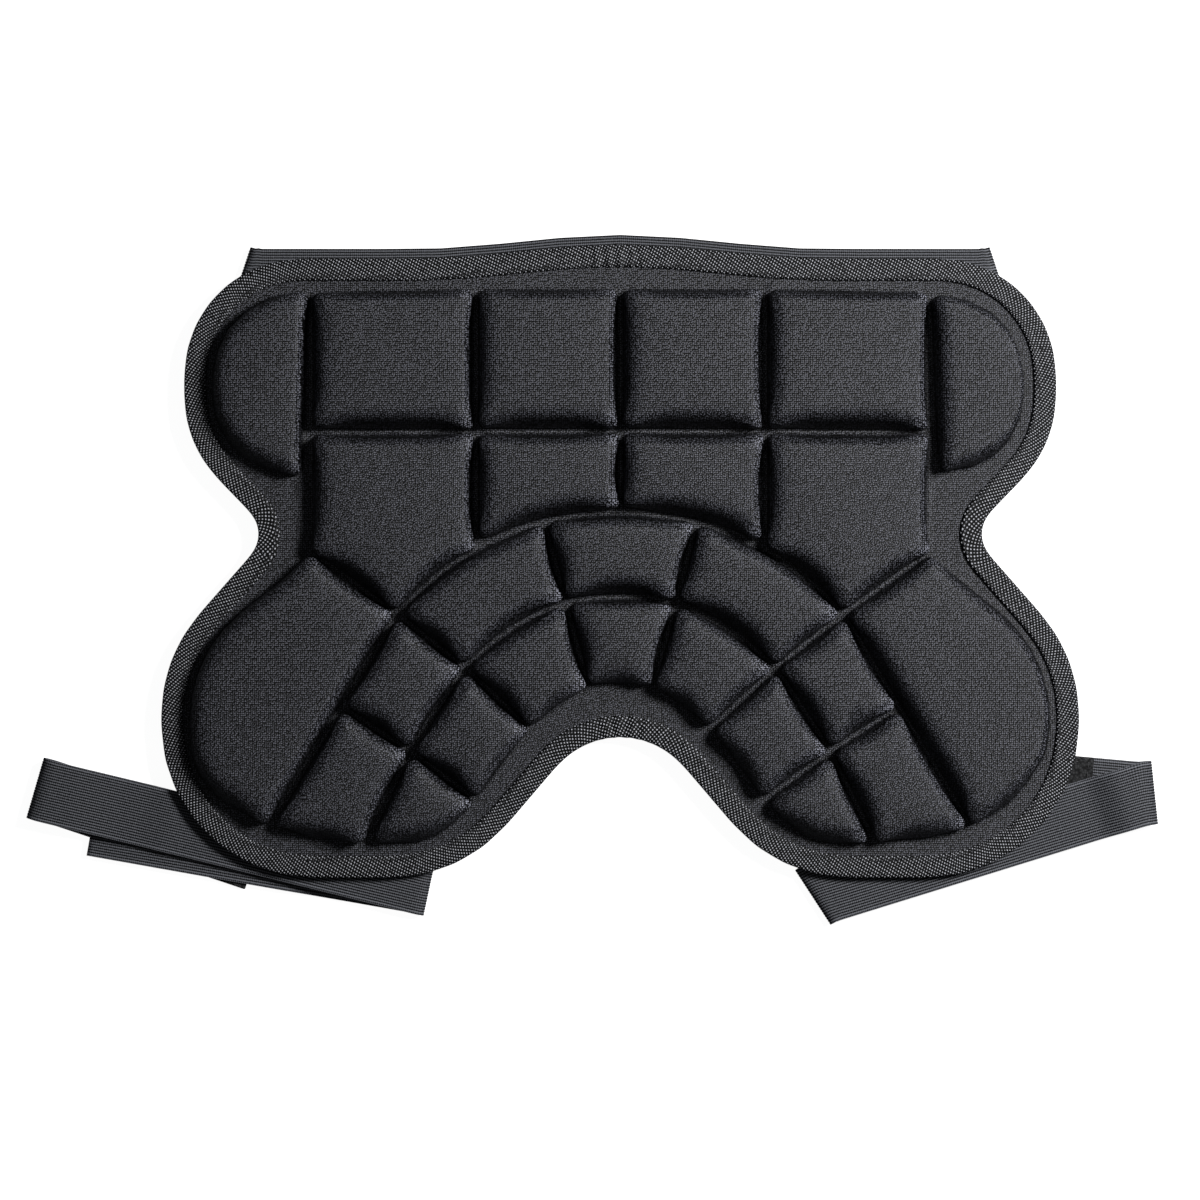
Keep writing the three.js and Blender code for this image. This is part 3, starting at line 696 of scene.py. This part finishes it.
elastic = elastic_material()
for node in ("waist_belt", "left_leg_strap", "right_leg_strap"):
    band = ribbed_band(node, node + "_elastic")
    band.data.materials.append(elastic)
    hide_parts(node)
    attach(band, "root")


# Edge binding
# Woven herringbone tape, folded over the pad's cut edge and sewn through with a zigzag stitch.
# It ruckles at the middle of the top edge and in the notch between the lobes.
TAPE_THICKNESS = 0.0008
TAPE_SHARE = 0.9  # of the solid's thickness
TAPE_COVER = 0.0087
TAPE_STEP = 0.0012
TAPE_ROOM = 0.0011  # over the flange, for the tape and the cloth under it
TAPE_TOP = FLANGE_TOP + TAPE_ROOM
TAPE_BACK = PAD_BACK
TAPE_BEND = 0.0012  # how far in from the edge the tape starts to bend
FOLD_LEVEL = TAPE_BACK + 0.0004
PAD_MIDDLE = np.array([0.011, 0.013])
ROUTE_SMOOTHING = 2.2  # in steps of the route
TWILL = ((math.radians(-58), 0.0012), (math.radians(20), 0.00105))  # turn and pitch of its lines
TAPE_DARK = (0.002, 0.002, 0.0024, 1)
TAPE_LIGHT = (0.86, 0.88, 0.95, 1)
PUCKER_PITCH = 0.0046
PUCKER_HEIGHT = 0.0004
PUCKER_REACH = 0.011
PUCKER_PLACES = ((0.010, 0.131), (0.012, -0.061))
STITCH_PITCH = 0.0021
STITCH_HALF = 0.0008
STITCH_INSET = 0.0074
THREAD_RADIUS = 0.00016


def edge_route(node):
    """Evenly spaced points round the outside of the edge tape, and the way inwards at each."""
    copy = merged_copy(node, "edge_copy")
    rows = points_of(copy)
    bpy.data.objects.remove(copy)
    outside = rows[np.abs(rows[:, 2] - FOLD_LEVEL) < 0.0001][:, :2]
    bearing = np.arctan2(outside[:, 1] - PAD_MIDDLE[1], outside[:, 0] - PAD_MIDDLE[0])
    corners = outside[np.argsort(bearing)]
    closed = np.vstack([corners, corners[:1]])
    length = np.concatenate([[0], np.cumsum(np.linalg.norm(np.diff(closed, axis=0), axis=1))])
    count = int(length[-1] / TAPE_STEP)
    even = np.arange(count) * length[-1] / count
    route = np.stack([np.interp(even, length, closed[:, k]) for k in (0, 1)], axis=1)
    reach = 6
    kernel = np.exp(-0.5 * (np.arange(-reach, reach + 1) / ROUTE_SMOOTHING) ** 2)
    kernel /= kernel.sum()
    wrapped = np.vstack([route[-reach:], route, route[:reach]])
    route = np.stack([np.convolve(wrapped[:, k], kernel, "valid") for k in (0, 1)], axis=1)
    along = np.roll(route, -1, axis=0) - np.roll(route, 1, axis=0)
    along /= np.linalg.norm(along, axis=1)[:, None]
    return route, np.stack([-along[:, 1], along[:, 0]], axis=1), length[-1] / count


def puckers(route):
    """Height of the tape's ruckles at each point of the route."""
    window = np.zeros(len(route))
    for spot in PUCKER_PLACES:
        distance = np.linalg.norm(route - spot, axis=1)
        window += np.exp(-(distance / PUCKER_REACH) ** 2)
    run = np.arange(len(route)) * TAPE_STEP
    return PUCKER_HEIGHT * window * np.sin(2 * np.pi * run / PUCKER_PITCH)


def folded_tape():
    """The tape as a sheet bent round the edge, then given its thickness inwards."""
    route, inward, step = edge_route("edge_binding")
    ruckle = puckers(route)
    top = [(TAPE_COVER - (TAPE_COVER - TAPE_BEND) * i / 8, TAPE_TOP) for i in range(9)]
    bend = [(TAPE_BEND / 2, TAPE_TOP - 0.00012), (0.0003, TAPE_TOP - 0.0004),
            (0.0002, (TAPE_TOP + TAPE_BACK) / 2),
            (0.0003, FOLD_LEVEL), (TAPE_BEND / 2, TAPE_BACK + 0.00012)]
    back = [(TAPE_BEND + (TAPE_COVER - TAPE_BEND) * i / 5, TAPE_BACK) for i in range(6)]
    section = np.array(top + bend + back)
    girth = np.concatenate([[0], np.cumsum(np.linalg.norm(np.diff(section, axis=0), axis=1))])
    rows = len(route) + 1
    select_none()
    bpy.ops.mesh.primitive_grid_add(
        x_subdivisions=len(section) - 1, y_subdivisions=rows - 1, size=2)
    tape = bpy.context.object
    tape.name = "binding_tape"
    spot = points_of(tape)
    column = np.rint((spot[:, 0] + 1) / 2 * (len(section) - 1)).astype(int)
    row = np.rint((spot[:, 1] + 1) / 2 * (rows - 1)).astype(int)
    here = row % len(route)
    over = np.clip((section[column, 1] - TAPE_BACK) / (TAPE_TOP - TAPE_BACK), 0, 1)
    inset = section[column, 0] + 0.6 * ruckle[here] * over
    plan = route[here] + inward[here] * inset[:, None]
    height = section[column, 1] + ruckle[here] * over
    move_points(tape, np.column_stack([plan, height]))
    loops = np.zeros(len(tape.data.loops), int)
    tape.data.loops.foreach_get("vertex_index", loops)
    cloth = np.stack([girth[column[loops]], row[loops] * step], axis=1)
    tape.data.uv_layers[0].data.foreach_set("uv", cloth.ravel())
    make_active(tape)
    bpy.ops.object.mode_set(mode="EDIT")
    bpy.ops.mesh.select_all(action="SELECT")
    bpy.ops.mesh.remove_doubles(threshold=0.00001)
    bpy.ops.mesh.normals_make_consistent(inside=False)
    bpy.ops.object.mode_set(mode="OBJECT")
    apply_modifier(tape, "SOLIDIFY", thickness=TAPE_THICKNESS * TAPE_SHARE, offset=-1)
    make_active(tape)
    bpy.ops.object.shade_smooth()
    return tape


def twill_material():
    """Two sets of slanting lines that cross, broken into small light picks."""
    material = bpy.data.materials.new("twill_tape")
    material.use_nodes = True
    nodes, links = material.node_tree.nodes, material.node_tree.links
    shader = nodes["Principled BSDF"]
    cloth = nodes.new("ShaderNodeUVMap")
    lines = []
    for turn, pitch in TWILL:
        mapping = nodes.new("ShaderNodeMapping")
        mapping.inputs["Rotation"].default_value = (0, 0, turn)
        links.new(cloth.outputs["UV"], mapping.inputs["Vector"])
        wave = nodes.new("ShaderNodeTexWave")
        wave.bands_direction = "Y"
        wave.inputs["Scale"].default_value = math.pi / (10 * pitch)
        wave.inputs["Distortion"].default_value = 0.6
        links.new(mapping.outputs["Vector"], wave.inputs["Vector"])
        lines.append(wave)
    weave = nodes.new("ShaderNodeMath")
    weave.operation = "MULTIPLY"
    links.new(lines[0].outputs["Fac"], weave.inputs[0])
    links.new(lines[1].outputs["Fac"], weave.inputs[1])
    fibres = nodes.new("ShaderNodeTexNoise")
    fibres.inputs["Scale"].default_value = 900
    links.new(cloth.outputs["UV"], fibres.inputs["Vector"])
    worn = nodes.new("ShaderNodeMath")
    worn.operation = "MULTIPLY"
    links.new(weave.outputs["Value"], worn.inputs[0])
    links.new(fibres.outputs["Fac"], worn.inputs[1])
    ramp = nodes.new("ShaderNodeValToRGB")
    ramp.color_ramp.elements[0].position = 0.2
    ramp.color_ramp.elements[0].color = TAPE_DARK
    ramp.color_ramp.elements[1].position = 0.42
    ramp.color_ramp.elements[1].color = TAPE_LIGHT
    links.new(worn.outputs["Value"], ramp.inputs["Fac"])
    links.new(ramp.outputs["Color"], shader.inputs["Base Color"])
    bump = nodes.new("ShaderNodeBump")
    bump.inputs["Strength"].default_value = 0.6
    bump.inputs["Distance"].default_value = 0.0004
    links.new(weave.outputs["Value"], bump.inputs["Height"])
    links.new(bump.outputs["Normal"], shader.inputs["Normal"])
    shader.inputs["Roughness"].default_value = 0.55
    shader.inputs["Specular IOR Level"].default_value = 0.25
    return material


def thread_run(name, paths, closed):
    """Sewing thread along each path, as one mesh of thin round runs."""
    curve = bpy.data.curves.new(name, "CURVE")
    curve.dimensions = "3D"
    curve.bevel_depth = THREAD_RADIUS
    curve.bevel_resolution = 1
    curve.use_fill_caps = True
    for path in paths:
        spline = curve.splines.new("POLY")
        spline.points.add(len(path) - 1)
        spline.points.foreach_set("co", np.column_stack([path, np.ones(len(path))]).ravel())
        spline.use_cyclic_u = closed
    thread = bpy.data.objects.new(name, curve)
    bpy.context.scene.collection.objects.link(thread)
    make_active(thread)
    bpy.ops.object.convert(target="MESH")
    thread = bpy.context.object
    bpy.ops.object.shade_smooth()
    return thread


def thread_material():
    """Spun polyester thread, slightly lighter than the cloth."""
    material = bpy.data.materials.new("sewing_thread")
    material.use_nodes = True
    nodes, links = material.node_tree.nodes, material.node_tree.links
    shader = nodes["Principled BSDF"]
    coordinates = nodes.new("ShaderNodeTexCoord")
    plies = nodes.new("ShaderNodeTexNoise")
    plies.inputs["Scale"].default_value = 2500
    links.new(coordinates.outputs["Object"], plies.inputs["Vector"])
    ramp = nodes.new("ShaderNodeValToRGB")
    ramp.color_ramp.elements[0].color = (0.02, 0.02, 0.022, 1)
    ramp.color_ramp.elements[1].color = (0.14, 0.14, 0.15, 1)
    links.new(plies.outputs["Fac"], ramp.inputs["Fac"])
    links.new(ramp.outputs["Color"], shader.inputs["Base Color"])
    shader.inputs["Roughness"].default_value = 0.5
    return material


def binding_stitches():
    """Zigzag thread just inside the tape's inner edge, on the front and the back."""
    route, inward, step = edge_route("edge_binding")
    ruckle = puckers(route)
    count = 2 * round(len(route) * step / STITCH_PITCH)
    spot = np.arange(count) * len(route) / count
    here = np.floor(spot).astype(int)
    after = (here + 1) % len(route)
    part = (spot - here)[:, None]
    base = route[here] * (1 - part) + route[after] * part
    side = np.where(np.arange(count) % 2, STITCH_HALF, -STITCH_HALF)
    plan = base + inward[here] * (STITCH_INSET + side)[:, None]
    front = TAPE_TOP + THREAD_RADIUS * 0.6 + ruckle[here]
    back = np.full(count, TAPE_BACK - THREAD_RADIUS * 0.6)
    return [np.column_stack([plan, front]), np.column_stack([plan, back])]


tape = folded_tape()
tape.data.materials.append(twill_material())
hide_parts("edge_binding")
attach(tape, "root")
thread = thread_material()
stitches = thread_run("binding_stitches", binding_stitches(), True)
stitches.data.materials.append(thread)
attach(stitches, "root")


# Hook-and-loop fasteners
# A patch of nylon loop pile sewn to one end of each band with a box seam. The other end presses
# onto it, and so closes the band to a loop.
PATCH_EDGE = 0.0003
PATCH_CELL = 0.0009
PATCH_TOP_SKIN = 0.0003
PATCH_MIDDLE_REACH = 0.004  # nothing but the patch's corners lies further from its middle
PILE_HEIGHT = 0.00025
SEAM_CORNER_INSET = 0.00224
SEAM_STITCH = 0.0026
SEAM_GAP = 0.0007


def pile_material():
    """Short matted loops: coarse fuzzy speckle and a rough bump."""
    material = bpy.data.materials.new("loop_pile")
    material.use_nodes = True
    nodes, links = material.node_tree.nodes, material.node_tree.links
    shader = nodes["Principled BSDF"]
    coordinates = nodes.new("ShaderNodeTexCoord")
    loops = nodes.new("ShaderNodeTexVoronoi")
    loops.inputs["Scale"].default_value = 900
    links.new(coordinates.outputs["Object"], loops.inputs["Vector"])
    ramp = nodes.new("ShaderNodeValToRGB")
    ramp.color_ramp.elements[0].color = (0.075, 0.077, 0.08, 1)
    ramp.color_ramp.elements[1].position = 0.7
    ramp.color_ramp.elements[1].color = (0.008, 0.008, 0.009, 1)
    links.new(loops.outputs["Distance"], ramp.inputs["Fac"])
    links.new(ramp.outputs["Color"], shader.inputs["Base Color"])
    bump = nodes.new("ShaderNodeBump")
    bump.invert = True
    bump.inputs["Strength"].default_value = 0.8
    bump.inputs["Distance"].default_value = 0.0005
    links.new(loops.outputs["Distance"], bump.inputs["Height"])
    links.new(bump.outputs["Normal"], shader.inputs["Normal"])
    shader.inputs["Roughness"].default_value = 0.9
    return material


def fastener_patch(node):
    """A patch with rounded rims and raised pile, the corners of its plan and its top level."""
    patch = merged_copy(node, node + "_pile")
    corners = points_of(patch)
    top = corners[:, 2].max()
    plan = corners[corners[:, 2] > top - 0.0001][:, :2]
    middle = plan.mean(axis=0)
    outer = plan[np.linalg.norm(plan - middle, axis=1) > PATCH_MIDDLE_REACH]
    outer = outer[np.argsort(np.arctan2(*(outer - middle).T[::-1]))]
    apply_modifier(patch, "BEVEL", width=PATCH_EDGE, segments=2)
    patch.data.remesh_voxel_size = PATCH_CELL / 2
    make_active(patch)
    bpy.ops.object.voxel_remesh()
    rows = points_of(patch)
    wave = np.sin(rows[:, 0] * 2 * np.pi / PATCH_CELL) * np.sin(rows[:, 1] * 2 * np.pi / PATCH_CELL)
    rows[:, 2] -= (rows[:, 2] > top - PATCH_TOP_SKIN) * PILE_HEIGHT * (0.5 - 0.5 * wave)
    move_points(patch, rows)
    bpy.ops.object.shade_smooth()
    return patch, outer, top


def box_seam(outer, level):
    """Short stitches along a rectangle just inside the patch's rim, and across it."""
    middle = outer.mean(axis=0)
    shrunk = []
    for corner in outer:
        away = corner - middle
        shrunk.append(corner - away / np.linalg.norm(away) * SEAM_CORNER_INSET)
    sides = [(shrunk[i], shrunk[(i + 1) % 4]) for i in range(4)]
    sides += [(shrunk[0], shrunk[2]), (shrunk[1], shrunk[3])]
    paths = []
    for a, b in sides:
        length = np.linalg.norm(b - a)
        count = max(int(length / (SEAM_STITCH + SEAM_GAP)), 1)
        for i in range(count):
            start = a + (b - a) * i / count
            end = start + (b - a) / length * SEAM_STITCH
            inner = [start, start * 0.75 + end * 0.25, start * 0.25 + end * 0.75, end]
            heights = [level - THREAD_RADIUS, level + THREAD_RADIUS * 0.5,
                       level + THREAD_RADIUS * 0.5, level - THREAD_RADIUS]
            paths.append(np.column_stack([inner, heights]))
    return paths


pile = pile_material()
for node in ("waist_fastener", "left_fastener", "right_fastener"):
    patch, outer, top = fastener_patch(node)
    patch.data.materials.append(pile)
    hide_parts(node)
    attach(patch, "root")
    seam = thread_run(node + "_seam", box_seam(outer, top), False)
    seam.data.materials.append(thread)
    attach(seam, "root")
